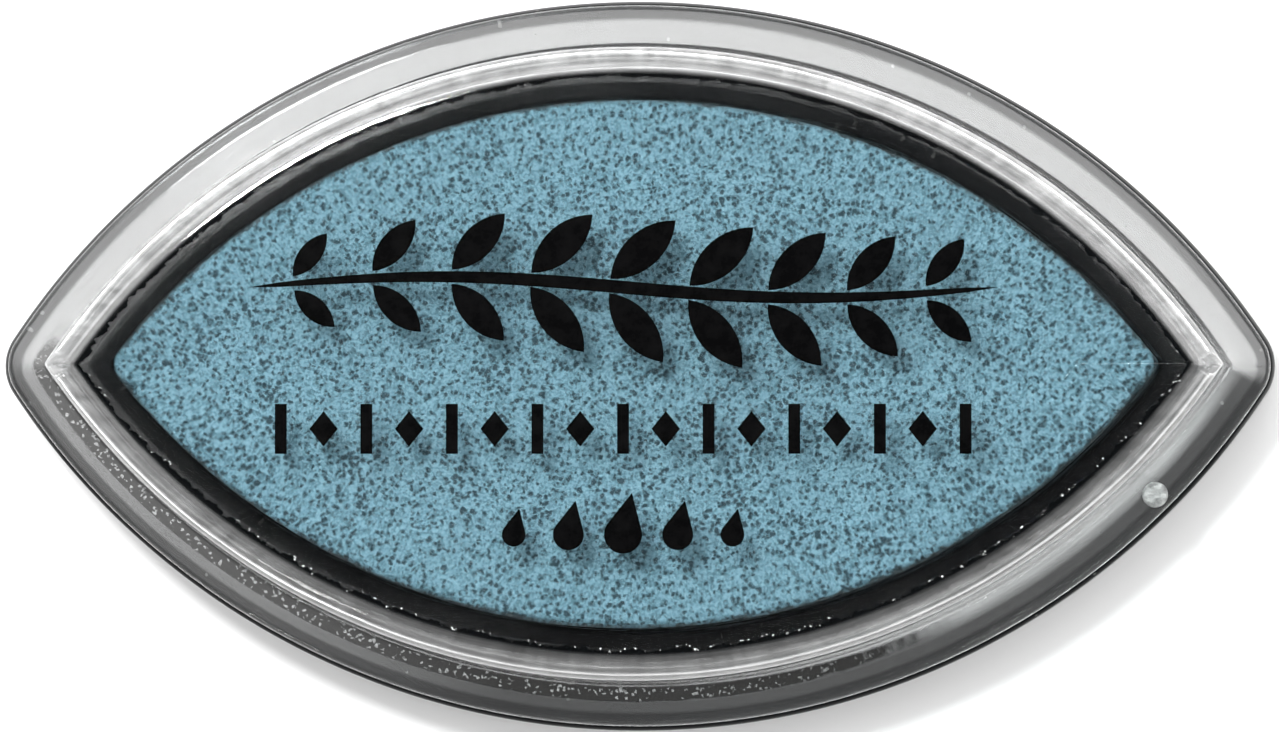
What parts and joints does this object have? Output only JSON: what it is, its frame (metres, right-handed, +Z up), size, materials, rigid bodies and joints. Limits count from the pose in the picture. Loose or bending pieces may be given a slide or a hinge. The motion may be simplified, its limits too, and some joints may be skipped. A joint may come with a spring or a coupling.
{
  "type": "ink pad",
  "caption": "Eye-shaped raised foam ink pad in a black tray, with a clear lift-off lid that carries a printed leaf ornament.",
  "frame": {"origin": "centre of the tray's foot, on the surface that the pad stands on", "axes": "+X from tip to tip, +Y across the pad towards the sprig's side of the print, +Z up through the lid"},
  "size_m": [0.054, 0.031, 0.0154],
  "materials": {
    "tray_plastic": "satin",
    "clear_plastic": "gloss",
    "inked_foam": "matte",
    "reservoir_foam": "matte",
    "adhesive": "matte",
    "black_print": "satin",
    "label_paper": "matte",
    "blue_print": "satin",
    "grey_print": "satin"
  },
  "bodies": {
    "base": {"base_tray": "tray_plastic", "pad_adhesive": "adhesive", "reservoir_foam": "reservoir_foam", "base_label": "label_paper", "base_label_patch": "blue_print", "base_label_rules": "grey_print"},
    "pad_face": {"face_foam": "inked_foam"},
    "lid": {"lid_shell": "clear_plastic", "lid_print_sprig": "black_print", "lid_print_band": "black_print", "lid_print_drops": "black_print"}
  },
  "joints": [
    {"name": "lid_lift", "type": "slide", "parent": "base", "child": "lid", "axis": [0, 0, 1], "range_m": [0, 0.022]},
    {"name": "pad_press", "type": "slide", "parent": "base", "child": "pad_face", "axis": [0, 0, -1], "range_m": [0, 0.0012], "stiffness_N_per_m": 500, "deforming": ["reservoir_foam"]}
  ]
}
